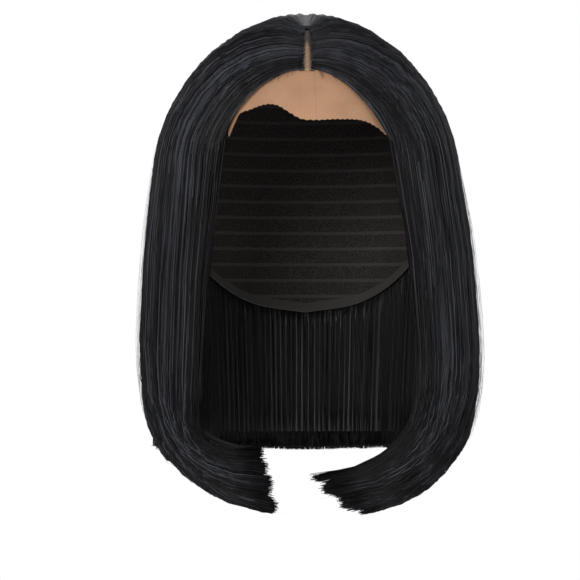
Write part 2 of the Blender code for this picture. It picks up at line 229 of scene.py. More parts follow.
@dataclass(frozen=True)
class HairForm:
    """The strand rule: where a strand of the hair runs, from its root to its tip."""

    head: HeadForm = HeadForm()
    gap: float = 0.0012
    crown_depth: float = 0.0078
    side_depth: float = 0.0119
    front_depth: float = 0.0054
    back_depth: float = 0.0085
    power: float = 1.90
    part_front: float = 0.0780
    part_back: float = 0.0400
    part_half_front: float = 0.0044
    part_half_back: float = 0.0029
    root_share: float = 0.35
    root_roll: float = 0.0140
    length: float = 0.2700
    side_flare: float = 0.0095
    front_sweep: float = 0.0160
    back_sweep: float = 0.0060
    hem_shift: float = 0.0022
    hem_power: float = 2.6
    hem_edge: float = 0.0030
    hem_side: float = 0.0110
    hem_full_deg: float = 70.0
    tip_depth: float = 0.0045
    tip_lean_deg: float = 40.0
    tip_past: float = 1.12
    fall_power: float = 1.60
    flare_start: float = 0.30
    flare_end_deg: float = 95.0
    back_fall_deg: float = 140.0
    curl_end_deg: float = 82.0
    curl_edge_power: float = 1.25
    dome_inset: float = 0.0014
    face_deg: float = 29.0
    side_back_deg: float = 118.0
    panel_gap: float = 0.0005
    lock_deg: float = 13.0
    lock_share: float = 0.10
    dome_share: float = 0.50
    curl_share: float = 0.75
    # Direction at the widest level, root along the part, direction at the hem, level of the curl and
    # of the tip as shares of the length, and the tip's direction and reach in the hem ring
    right: Table = (
        (29.0, 0.00, 39.5, 0.800, 0.870, 20.6, 0.870),
        (42.0, 0.18, 48.5, 0.755, 0.915, 20.8, 0.800),
        (57.0, 0.40, 60.0, 0.700, 0.960, 21.2, 0.730),
        (70.0, 0.58, 71.0, 0.675, 1.000, 22.5, 0.670),
        (85.0, 0.76, 85.0, 0.690, 0.950, 62.0, 0.580),
        (101.0, 0.90, 101.0, 0.759, 0.885, 100.0, 0.800),
        (118.0, 1.00, 118.0, 0.763, 0.893, 118.0, 0.850),
        (180.0, 1.00, 180.0, 0.770, 0.905, 180.0, 0.880),
    )
    left: Table = (
        (29.0, 0.00, 38.5, 0.700, 0.925, 4.5, 0.848),
        (42.0, 0.18, 48.5, 0.695, 0.952, 9.0, 0.785),
        (57.0, 0.40, 61.0, 0.690, 0.980, 18.5, 0.733),
        (70.0, 0.58, 72.0, 0.685, 1.000, 31.0, 0.705),
        (85.0, 0.76, 85.0, 0.700, 0.960, 64.0, 0.640),
        (101.0, 0.90, 101.0, 0.752, 0.893, 100.0, 0.865),
        (118.0, 1.00, 118.0, 0.763, 0.893, 118.0, 0.888),
        (180.0, 1.00, 180.0, 0.770, 0.905, 180.0, 0.880),
    )

    @property
    def offset(self) -> float:
        """Offset of the hair's inner face from the inside of the cap."""
        return self.head.cap_wall + self.gap

    def surface(self, depth: Depth) -> Surface:
        """Works out a face of the hair.

        Args:
            depth: the inner or outer face.

        Returns:
            The face.
        """
        head, outer = self.head, float(depth.value)
        depths = (self.crown_depth, self.side_depth, self.front_depth, self.back_depth)
        size = [inner + self.offset + more * outer for inner, more in zip(head.size, depths)]
        power = self.power if depth is Depth.OUTER else head.profile_power
        return Surface(*size, power, head.plan_power, -head.rise)

    def hem(self, sign: Array, direction: Array, reach: Array, inset: Array) -> Plan:
        """Plan points of the hem ring.

        Args:
            sign: the side, -1 or 1.
            direction: degrees from the face.
            reach: share of the ring's size.
            inset: how far the points are drawn in.

        Returns:
            The points' x and y.
        """
        outer = self.surface(Depth.OUTER)
        front, back = outer.front - self.front_sweep, outer.back - self.back_sweep
        size = (outer.half_width + self.side_flare, front, back)
        x, y = ring_point(sign, direction, size, self.hem_power)
        keep = reach - inset / np.hypot(x, y)
        return x * keep + self.hem_shift, y * keep

    def root(self, sign: Array, ring: Array, root: Array) -> Plan:
        """Plan points where strands start: along the part, or round its back end.

        Args:
            sign: the side, -1 or 1.
            ring: degrees from the face at the widest level.
            root: place along the part, 0 at its front.

        Returns:
            The points' x and y.
        """
        half_gap = self.panel_gap / 2.0
        part_x = sign * blend(self.part_half_front, self.part_half_back, root)
        part_y = -blend(self.part_front, self.part_back + half_gap, root)
        turn = (ring - self.side_back_deg) / (180.0 - self.side_back_deg) * math.pi / 2.0
        fan_x = sign * self.part_half_back * np.cos(turn)
        fan_y = -self.part_back + half_gap + self.part_half_back * np.sin(turn)
        behind = ring > self.side_back_deg
        return np.where(behind, fan_x, part_x), np.where(behind, fan_y, part_y)

    def on_face(self, face: Depth, turn: Array, along: Array) -> tuple[Array, Array]:
        """Points of strands on one face of the hair.

        Args:
            face: the inner or outer face.
            turn: signed direction of the strand at the widest level, minus on the right.
            along: how far down the strand, 0 to 1.

        Returns:
            The points, and how far they are from the root in plan.
        """
        turn, along = np.broadcast_arrays(np.asarray(turn, float), np.asarray(along, float))
        sign, ring = np.where(turn < 0.0, -1.0, 1.0), np.abs(turn)
        right = (sign < 0.0)[..., None]
        cells = np.where(right, read_table(self.right, ring), read_table(self.left, ring))
        root, hem_deg, curl_top, tip_level, tip_deg, tip_reach = np.moveaxis(cells, -1, 0)
        surface = self.surface(face)
        start_x, start_y = self.root(sign, ring, root)
        widest = (surface.half_width, surface.front, surface.back)
        brow_x, brow_y = ring_point(sign, ring, widest, surface.plan_power)
        inset = 1.0 - self.dome_inset / np.hypot(brow_x, brow_y)
        edge_x, edge_y = brow_x * inset, brow_y * inset
        share = np.sin(np.clip(along / self.dome_share, 0.0, 1.0) * math.pi / 2.0)
        dome_x, dome_y = blend(start_x, edge_x, share), blend(start_y, edge_y, share)
        dome_z = surface.height(dome_x, dome_y)
        away = np.hypot(dome_x - start_x, dome_y - start_y)

        inner = 1.0 - float(face.value)
        full = ease((ring - self.face_deg) / (self.hem_full_deg - self.face_deg))
        hem_x, hem_y = self.hem(sign, hem_deg, 1.0, blend(self.hem_edge, self.hem_side, full) * inner)
        top, curl = surface.height(edge_x, edge_y), -curl_top * self.length
        share = np.clip((along - self.dome_share) / (self.curl_share - self.dome_share), 0.0, 1.0)
        fall_z = blend(top, curl, share)
        past = np.clip((top - fall_z) / (top - surface.brow), 0.0, 1.0)
        keep = 1.0 - (1.0 - inset) * (1.0 - past) ** 2
        flare = (1.0 - (1.0 - share) ** self.fall_power) * ease(share / self.flare_start)
        behind = ease((ring - self.flare_end_deg) / (self.back_fall_deg - self.flare_end_deg))
        out = blend(flare, share * share, behind)
        fall_x, fall_y = blend(brow_x * keep, hem_x, out), blend(brow_y * keep, hem_y, out)

        end = math.radians(self.curl_end_deg)
        bend = np.clip((along - self.curl_share) / (1.0 - self.curl_share), 0.0, self.tip_past) * end
        across, down = (1.0 - np.cos(bend)) / (1.0 - math.cos(end)), np.sin(bend) / math.sin(end)
        across = across ** blend(self.curl_edge_power, 1.0, full)
        lean, depth = math.radians(self.tip_lean_deg), self.tip_depth * inner
        tip_x, tip_y = self.hem(sign, tip_deg, tip_reach, depth * math.cos(lean))
        tip_z = -tip_level * self.length + depth * math.sin(lean)
        curl_x, curl_y = blend(hem_x, tip_x, across), blend(hem_y, tip_y, across)
        curl_z = blend(curl, tip_z, down)

        on_dome, on_fall = along <= self.dome_share, along <= self.curl_share
        x = np.where(on_dome, dome_x, np.where(on_fall, fall_x, curl_x))
        y = np.where(on_dome, dome_y, np.where(on_fall, fall_y, curl_y))
        z = np.where(on_dome, dome_z, np.where(on_fall, fall_z, curl_z))
        return np.stack((x, y, z), axis=-1), np.where(on_dome, away, self.root_roll)

    def point(self, turn: Array, along: Array, depth: Array) -> Array:
        """Points in the hair, with the locks' grooves.

        Args:
            turn: signed direction of the strand at the widest level.
            along: how far down the strand.
            depth: 0 on the inner face and 1 on the outer one.

        Returns:
            The points, on the last axis.
        """
        inner, _ = self.on_face(Depth.INNER, turn, along)
        outer, away = self.on_face(Depth.OUTER, turn, along)
        grown = blend(self.root_share, 1.0, ease(away / self.root_roll))
        groove = 0.5 - 0.5 * np.cos(2.0 * math.pi * (np.abs(turn) - self.face_deg) / self.lock_deg)
        reach = depth * grown * (1.0 - self.lock_share * groove)
        return blend(inner, outer, reach[..., None])


@dataclass(frozen=True)
class Coat:
    """A material, with the record's slot that it stands for."""

    material: Material
    slot: str


def link_piece(name: str, mesh: Mesh, coat: Coat) -> Object:
    """Adds an object that rides on the wig.

    Args:
        name: the object's name.
        mesh: its mesh, already in place.
        coat: its finish.

    Returns:
        The object.
    """
    mesh.materials.append(coat.material)
    item = bpy.data.objects.new(name, mesh)
    bpy.context.scene.collection.objects.link(item)
    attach(item, BODY)
    return item


def make_shell(name: str, grid: tuple[int, int], place: Place, coat: Coat) -> Object:
    """Makes a closed shell from a grid sheet.

    Args:
        name: the object's name.
        grid: faces across and along.
        place: gives real points for shares across, shares along, and depths of 0 or 1.
        coat: the finish.

    Returns:
        The shell, with the shares kept in its UV map.
    """
    bm = bmesh.new()
    bmesh.ops.create_grid(bm, x_segments=grid[0], y_segments=grid[1], size=0.5)
    for vert in bm.verts:
        vert.co = (vert.co.x + 0.5, vert.co.y + 0.5, 0.0)
    return close_sheet(bm, name, place, coat)


def close_sheet(bm: bmesh.types.BMesh, name: str, place: Place, coat: Coat) -> Object:
    """Closes a sheet that holds shares, and moves its vertices to their real places.

    Args:
        bm: the sheet, whose vertices hold (across, along, 0).
        name: the object's name.
        place: gives the real points.
        coat: the finish.

    Returns:
        The closed object.
    """
    grown = bmesh.ops.extrude_face_region(bm, geom=bm.faces[:], use_keep_orig=True)
    for item in grown["geom"]:
        if isinstance(item, bmesh.types.BMVert):
            item.co.z = 1.0
    layer = bm.loops.layers.uv.new("shares")
    for face in bm.faces:
        for loop in face.loops:
            loop[layer].uv = loop.vert.co.xy
    shares = np.array([vert.co[:] for vert in bm.verts])
    for vert, point in zip(bm.verts, place(shares[:, 0], shares[:, 1], shares[:, 2])):
        vert.co = point
    bmesh.ops.recalc_face_normals(bm, faces=bm.faces[:])
    if bm.calc_volume(signed=True) < 0.0:
        bmesh.ops.reverse_faces(bm, faces=bm.faces[:])
    mesh = bpy.data.meshes.new(name)
    bm.to_mesh(mesh)
    bm.free()
    mesh.shade_smooth()
    mesh.set_sharp_from_angle(angle=math.radians(SHARP_DEG))
    return link_piece(name, mesh, coat)


def make_strands(name: str, lines: Array, radius: Array, tone: Array, coat: Coat) -> Object:
    """Makes one mesh of closed three-sided strands.

    Args:
        name: the object's name.
        lines: the strands' points, by strand, point and axis.
        radius: the radius at each point of each strand.
        tone: how light each strand is, 0 to 1.
        coat: the finish.

    Returns:
        The strands as one object, with the attributes tone and run.
    """
    count, steps = lines.shape[:2]
    tangent = np.gradient(lines, axis=1)
    tangent /= np.linalg.norm(tangent, axis=2, keepdims=True) + TINY
    out = lines - np.array(HAIR_MIDDLE)
    out -= tangent * (out * tangent).sum(2, keepdims=True)
    out /= np.linalg.norm(out, axis=2, keepdims=True) + TINY
    beside = np.cross(tangent, out)
    corners = [
        lines + radius[..., None] * (math.cos(angle) * out + math.sin(angle) * beside)
        for angle in (0.0, 2.0 * math.pi / 3.0, 4.0 * math.pi / 3.0)
    ]
    points = np.stack(corners, axis=2).reshape(-1, 3)
    at = np.arange(count * steps * 3).reshape(count, steps, 3)
    low, high = at[:, :-1], at[:, 1:]
    next_low, next_high = np.roll(low, -1, axis=2), np.roll(high, -1, axis=2)
    first = np.stack((low, next_low, next_high), axis=-1).reshape(-1, 3)
    second = np.stack((low, next_high, high), axis=-1).reshape(-1, 3)
    faces = np.concatenate((first, second, at[:, 0, ::-1], at[:, -1]))
    mesh = bpy.data.meshes.new(name)
    mesh.vertices.add(len(points))
    mesh.vertices.foreach_set("co", points.astype(np.float32).ravel())
    mesh.loops.add(faces.size)
    mesh.loops.foreach_set("vertex_index", faces.astype(np.int32).ravel())
    mesh.polygons.add(len(faces))
    mesh.polygons.foreach_set("loop_start", np.arange(0, faces.size, 3, dtype=np.int32))
    mesh.update(calc_edges=True)
    mesh.shade_smooth()
    run = np.tile(np.repeat(np.linspace(0.0, 1.0, steps), 3), count)
    for key, value in (("tone", np.repeat(tone, steps * 3)), ("run", run)):
        layer = mesh.attributes.new(key, "FLOAT", "POINT")
        layer.data.foreach_set("value", value.astype(np.float32))
    return link_piece(name, mesh, coat)


@dataclass(frozen=True)
class Graph:
    """Short calls to build a material's nodes."""

    tree: NodeTree

    def fill(self, item: Node, inputs: dict) -> None:
        """Links or sets some inputs of a node.

        Args:
            item: the node.
            inputs: a socket or a value for each input, by its name or place.
        """
        for key, value in inputs.items():
            if isinstance(value, NodeSocket):
                self.tree.links.new(value, item.inputs[key])
            else:
                item.inputs[key].default_value = value

    def node(self, kind: str, inputs: dict, **settings: object) -> Node:
        """Adds a node.

        Args:
            kind: its type, without ShaderNode.
            inputs: as for fill.
            settings: its other settings.

        Returns:
            The node.
        """
        item = self.tree.nodes.new(f"ShaderNode{kind}")
        for key, value in settings.items():
            setattr(item, key, value)
        self.fill(item, inputs)
        return item

    def math(self, operation: str, *values: object) -> NodeSocket:
        """Adds a Math node on sockets or numbers, and gives its value."""
        return self.node("Math", dict(enumerate(values)), operation=operation).outputs[0]

    def coords(self, kind: str) -> NodeSocket:
        """Adds texture coordinates of a kind."""
        return self.node("TexCoord", {}).outputs[kind]

    def split(self, source: NodeSocket) -> tuple[NodeSocket, NodeSocket, NodeSocket]:
        """Adds a node that gives the three parts of a vector."""
        return tuple(self.node("SeparateXYZ", {0: source}).outputs)

    def ramp(self, source: NodeSocket, places: tuple, colours: tuple) -> NodeSocket:
        """Adds a colour ramp.

        Args:
            source: the value that it reads.
            places: the places of its stops.
            colours: the colours of its stops.

        Returns:
            Its colour.
        """
        item = self.node("ValToRGB", {0: source})
        elements = item.color_ramp.elements
        while len(elements) < len(places):
            elements.new(0.5)
        for element, place, colour in zip(elements, places, colours):
            element.position = place
            element.color = (*colour, 1.0)
        return item.outputs[0]

    def noise(self, source: NodeSocket, stretch: Triple, detail: float = 3.0) -> NodeSocket:
        """Adds noise on coordinates scaled by a stretch, and gives its value."""
        place = self.node("Mapping", {"Scale": stretch, "Vector": source}).outputs[0]
        return self.node("TexNoise", {"Scale": 1.0, "Detail": detail, "Vector": place}).outputs["Fac"]

    def mix(self, share: NodeSocket, first: NodeSocket, colour: Triple) -> NodeSocket:
        """Adds a node that mixes a colour into another one."""
        inputs = {"Factor": share, "A": first, "B": (*colour, 1.0)}
        return self.node("Mix", inputs, data_type="RGBA").outputs["Result"]

    def bump(self, height: NodeSocket, strength: float, distance: float, invert: bool = False) -> NodeSocket:
        """Adds a bump of a strength and a height in metres, and gives its normal."""
        inputs = {"Strength": strength, "Distance": distance, "Height": height}
        return self.node("Bump", inputs, invert=invert).outputs[0]


def new_material(name: str) -> tuple[Material, Graph, Node]:
    """Makes a node material.

    Args:
        name: the material's name.

    Returns:
        The material, its graph and its Principled shader.
    """
    material = bpy.data.materials.new(name)
    material.use_nodes = True
    return material, Graph(material.node_tree), material.node_tree.nodes["Principled BSDF"]


@dataclass(frozen=True)
class HairFinish:
    """Black straight fibre: satin sheen, with strands of slightly different tone and painted shade at their
    tips.
    """

    slot: str = "hair"
    dark: Triple = (0.0010, 0.0010, 0.0013)
    middle: Triple = (0.0058, 0.0059, 0.0076)
    light: Triple = (0.0500, 0.0515, 0.0620)
    roughness: float = 0.42
    specular: float = 0.24
    strand_stops: Triple = (0.20, 0.50, 0.85)
    strand_drift: Triple = (150.0, 150.0, 12.0)
    # Painted shade: past this share of its run a strand darkens towards its tip, at the next rate
    painted_tip_shade_start: float = 0.74
    painted_tip_shade_rate: float = 1.6
    mass_stops: Pair = (0.15, 0.45)
    mass_fine: Triple = (420.0, 5.0, 1.0)
    mass_broad: Triple = (70.0, 2.0, 1.0)
    mass_roughness: float = 0.54
    bump: Pair = (0.6, 0.0006)

    def strand(self) -> Coat:
        """Makes the finish of the strands, lighter or darker by their attributes, and darker towards their
        tips as painted shade.

        Returns:
            The finish.
        """
        material, graph, shader = new_material(f"{self.slot}_strand")
        tone = graph.node("Attribute", {}, attribute_name="tone").outputs["Fac"]
        run = graph.node("Attribute", {}, attribute_name="run").outputs["Fac"]
        drift = graph.noise(graph.coords("Object"), self.strand_drift, 2.0)
        # Painted shade: the strands darken towards their tips
        past = graph.math("MAXIMUM", graph.math("SUBTRACT", run, self.painted_tip_shade_start), 0.0)
        kept = graph.math("SUBTRACT", 1.0, graph.math("MULTIPLY", past, self.painted_tip_shade_rate))
        tone_with_painted_tip_shade = graph.math("MULTIPLY", tone, kept)
        mixed = graph.math("MULTIPLY", tone_with_painted_tip_shade, graph.math("ADD", drift, 0.5))
        colour = graph.ramp(mixed, self.strand_stops, (self.dark, self.middle, self.light))
        graph.fill(shader, {"Base Color": colour, "Roughness": self.roughness})
        graph.fill(shader, {"Specular IOR Level": self.specular})
        return Coat(material, self.slot)

    def mass(self) -> Coat:
        """Makes the finish of the shell under the strands, streaked along them by its UV map.

        Returns:
            The finish.
        """
        material, graph, shader = new_material(f"{self.slot}_mass")
        fine = graph.noise(graph.coords("UV"), self.mass_fine, 3.0)
        broad = graph.noise(graph.coords("UV"), self.mass_broad, 2.0)
        colour = graph.ramp(graph.math("MULTIPLY", fine, broad), self.mass_stops, (self.dark, self.middle))
        graph.fill(shader, {"Base Color": colour, "Roughness": self.mass_roughness})
        graph.fill(shader, {"Normal": graph.bump(fine, *self.bump)})
        return Coat(material, self.slot)


@dataclass(frozen=True)
class LaceFinish:
    """Fine beige net, on the piece's UV map."""

    thread: Triple = (0.440, 0.243, 0.137)
    shade: Triple = (0.385, 0.210, 0.118)
    cloth_stops: Pair = (0.32, 0.60)
    roughness: float = 0.80
    cells: Pair = (190.0, 46.0)
    unevenness: float = 0.30
    hole: Pair = (0.10, 0.30)
    solidity: float = 0.86
    knots: Pair = (260.0, 60.0)
    knot_colour: Triple = (0.030, 0.022, 0.018)
    knot_size: float = 0.10
    knot_shade: float = 0.8
    knot_end: float = 0.34
    knot_drift: float = 0.3
    middle: float = 0.519
    seam_half: float = 0.0016
    seam_shade: float = 0.10
    root_shade: float = 0.0
    root_start: float = 0.38
    root_half: float = 0.05
    root_rough: float = 0.34
    root_rise: float = 4.4
    grain: float = 60.0
    bump: Pair = (0.35, 0.0003)

    def net(self, graph: Graph, scale: Pair, feature: str) -> NodeSocket:
        """Adds the distance field of the net's cells or of its knots.

        Args:
            graph: the material's graph.
            scale: how many there are across and along.
            feature: what the distance is measured to.

        Returns:
            The distance.
        """
        place = graph.node("Mapping", {"Scale": (*scale, 1.0), "Vector": graph.coords("UV")}).outputs[0]
        inputs = {"Scale": 1.0, "Randomness": self.unevenness, "Vector": place}
        return graph.node("TexVoronoi", inputs, feature=feature).outputs["Distance"]

    def roots(self, graph: Graph, off: NodeSocket, along: NodeSocket, drift: NodeSocket) -> NodeSocket:
        """Adds the dark of hair roots beside the part and at its back end.

        Args:
            graph: the material's graph.
            off: how far a place is from the part's middle.
            along: how far back it is.
            drift: the noise that makes the roots' edge ragged.

        Returns:
            The dark, as a share.
        """
        rough = graph.math("MULTIPLY", graph.math("SUBTRACT", drift, 0.5), self.root_rough)
        behind = graph.math("MAXIMUM", graph.math("SUBTRACT", along, self.root_start), 0.0)
        spread = graph.math("ADD", graph.math("ADD", off, rough), behind)
        outer = graph.math("MULTIPLY", graph.math("SUBTRACT", spread, self.root_half), self.root_rise)
        return graph.math("MINIMUM", graph.math("MAXIMUM", outer, 0.0), self.root_shade)

    def make(self, name: str) -> Coat:
        """Makes the net, with hair knots towards the hairline and the seam down its middle.

        Args:
            name: the material's name.

        Returns:
            The finish.
        """
        material, graph, shader = new_material(name)
        across, along, _ = graph.split(graph.coords("UV"))
        cells = self.net(graph, self.cells, "DISTANCE_TO_EDGE")
        low, high = self.hole
        hole = {"Value": cells, "From Min": low, "From Max": high, "To Min": 1.0, "To Max": self.solidity}
        solid = graph.node("MapRange", hole).outputs["Result"]
        drift = graph.noise(graph.coords("Object"), (self.grain, self.grain, self.grain), 3.0)
        cloth = graph.ramp(drift, self.cloth_stops, (self.shade, self.thread))
        near = graph.math("LESS_THAN", self.net(graph, self.knots, "F1"), self.knot_size)
        faded = graph.math("ADD", along, graph.math("MULTIPLY", drift, self.knot_drift))
        knots = graph.math("MULTIPLY", near, graph.math("LESS_THAN", faded, self.knot_end))
        off = graph.math("ABSOLUTE", graph.math("SUBTRACT", across, self.middle))
        seam = graph.math("MULTIPLY", graph.math("LESS_THAN", off, self.seam_half), self.seam_shade)
        dark = graph.math("ADD", graph.math("MULTIPLY", knots, self.knot_shade), seam)
        if self.root_shade:
            dark = graph.math("MAXIMUM", dark, self.roots(graph, off, along, drift))
        colour = graph.mix(dark, cloth, self.knot_colour)
        graph.fill(shader, {"Base Color": colour, "Roughness": self.roughness, "Alpha": solid})
        graph.fill(shader, {"Normal": graph.bump(cells, *self.bump, invert=True)})
        return Coat(material, "lace")


@dataclass(frozen=True)
class NetFinish:
    """Dark stretch net of the cap, with rows of stitched wefts and a bound rim."""

    thread: Triple = (0.030, 0.024, 0.021)
    hole: Triple = (0.006, 0.005, 0.005)
    weft: Triple = (0.045, 0.040, 0.038)
    net_stops: Pair = (0.06, 0.20)
    roughness: float = 0.85
    cells: float = 560.0
    unevenness: float = 0.85
    lattice_turn: Triple = (0.65, 0.40, 0.20)
    weft_spacing: float = 0.0095
    weft_share: float = 0.20
    weft_front: float = -0.02
    binding_start: float = 0.968
    stitch: Triple = (1500.0, 1500.0, 400.0)
    bump: Pair = (0.6, 0.0006)

    def make(self) -> Coat:
        """Makes the net on Object coordinates, with wefts by height and the rim by the UV map.

        Returns:
            The finish.
        """
        material, graph, shader = new_material("cap_net")
        place = graph.coords("Object")
        turned = graph.node("Mapping", {"Rotation": self.lattice_turn, "Vector": place}).outputs[0]
        inputs = {"Scale": self.cells, "Randomness": self.unevenness, "Vector": turned}
        cells = graph.node("TexVoronoi", inputs, feature="DISTANCE_TO_EDGE").outputs["Distance"]
        net = graph.ramp(cells, self.net_stops, (self.thread, self.hole))
        _, back, height = graph.split(place)
        share = graph.split(graph.coords("UV"))[1]
        rows = graph.math("FRACT", graph.math("MULTIPLY", height, 1.0 / self.weft_spacing))
        behind = graph.math("GREATER_THAN", back, self.weft_front)
        row = graph.math("MULTIPLY", graph.math("LESS_THAN", rows, self.weft_share), behind)
        raised = graph.math("MAXIMUM", row, graph.math("GREATER_THAN", share, self.binding_start))
        stitch = graph.math("MULTIPLY", raised, graph.noise(place, self.stitch, 1.0))
        woven = graph.math("SUBTRACT", stitch, cells)
        colour = graph.mix(raised, net, self.weft)
        graph.fill(shader, {"Base Color": colour, "Roughness": self.roughness})
        graph.fill(shader, {"Normal": graph.bump(woven, *self.bump)})
        return Coat(material, "cap_net")


@dataclass(frozen=True)
class StrandLook:
    """How a set of strands varies, in shares of the strands' length and of the hair's depth."""

    count: int
    stops: tuple[float, ...]
    radius: float
    begin: Pair = (0.0, 0.0)
    depth: Pair = (0.82, 0.99)
    inner_share: float = 0.16
    inner_begin: Pair = (0.50, 0.66)
    inner_depth: Pair = (-0.03, 0.06)
    clump_deg: float = 2.6
    clump_jitter: float = 0.3
    clump_sink: float = 0.12
    sink_from: Pair = (0.45, 0.25)
    wisp_deg: float = 0.6
    pull: float = 0.5
    pull_from: Pair = (0.15, 0.65)
    drift_deg: float = 0.8
    drift_middle: float = 0.35
    edge_deg: float = 3.0
    edge_past_deg: float = 0.3
    tip_from: Pair = (0.80, 0.20)
    tip_spread: float = 0.011
    tip_bias: float = 0.65
    tip_mixed: float = 0.45
    uneven_middle: float = 0.45
    straggler_share: float = 0.07
    straggler_cut: float = 0.09
    root_depth: float = 0.30
    root_from: Pair = (0.0, 0.05)
    weft_depth: float = 0.40
    weft_from: Pair = (0.0, 0.09)
    # How far roots may reach over the part, as shares of its half width, on the right and on the left
    cover: Pair = (0.80, 0.52)
    cover_least: float = 0.55
    cover_power: float = 1.3
    cover_from: Pair = (0.0, 0.06)
    flick_from_deg: Pair = (84.0, 12.0)
    unflick_from_deg: Pair = (110.0, 8.0)
    flick_from: Pair = (0.90, 0.10)
    belly_from: Pair = (0.76, 0.24)
    belly_out: float = 0.5
    wave: float = 0.00032
    wave_turns: float = 11.0
    wave_sides: Triple = (1.0, 1.0, 0.3)
    wave_from: Pair = (0.0, 0.6)
    soft_from: Pair = (0.18, 0.16)
    soft_rounds: int = 10
    thickness: Pair = (0.6, 1.25)
    thin_from: Pair = (0.90, 0.10)
    thin: float = 0.55
    tone_mix: Triple = (0.14, 0.34, 0.52)
    tone_middle: float = 0.47
    tone_contrast: float = 1.8
    # Painted shade: strands within this many degrees of the face's edge are darkened, by up to the next
    # share
    painted_face_shade_deg: float = 10.0
    shade: float = 0.40


@dataclass(frozen=True)
class Tips:
    """How the ends of a panel's strands come together."""

    pull: float
    spread: float
    belly: float
    flick: float = 0.0015


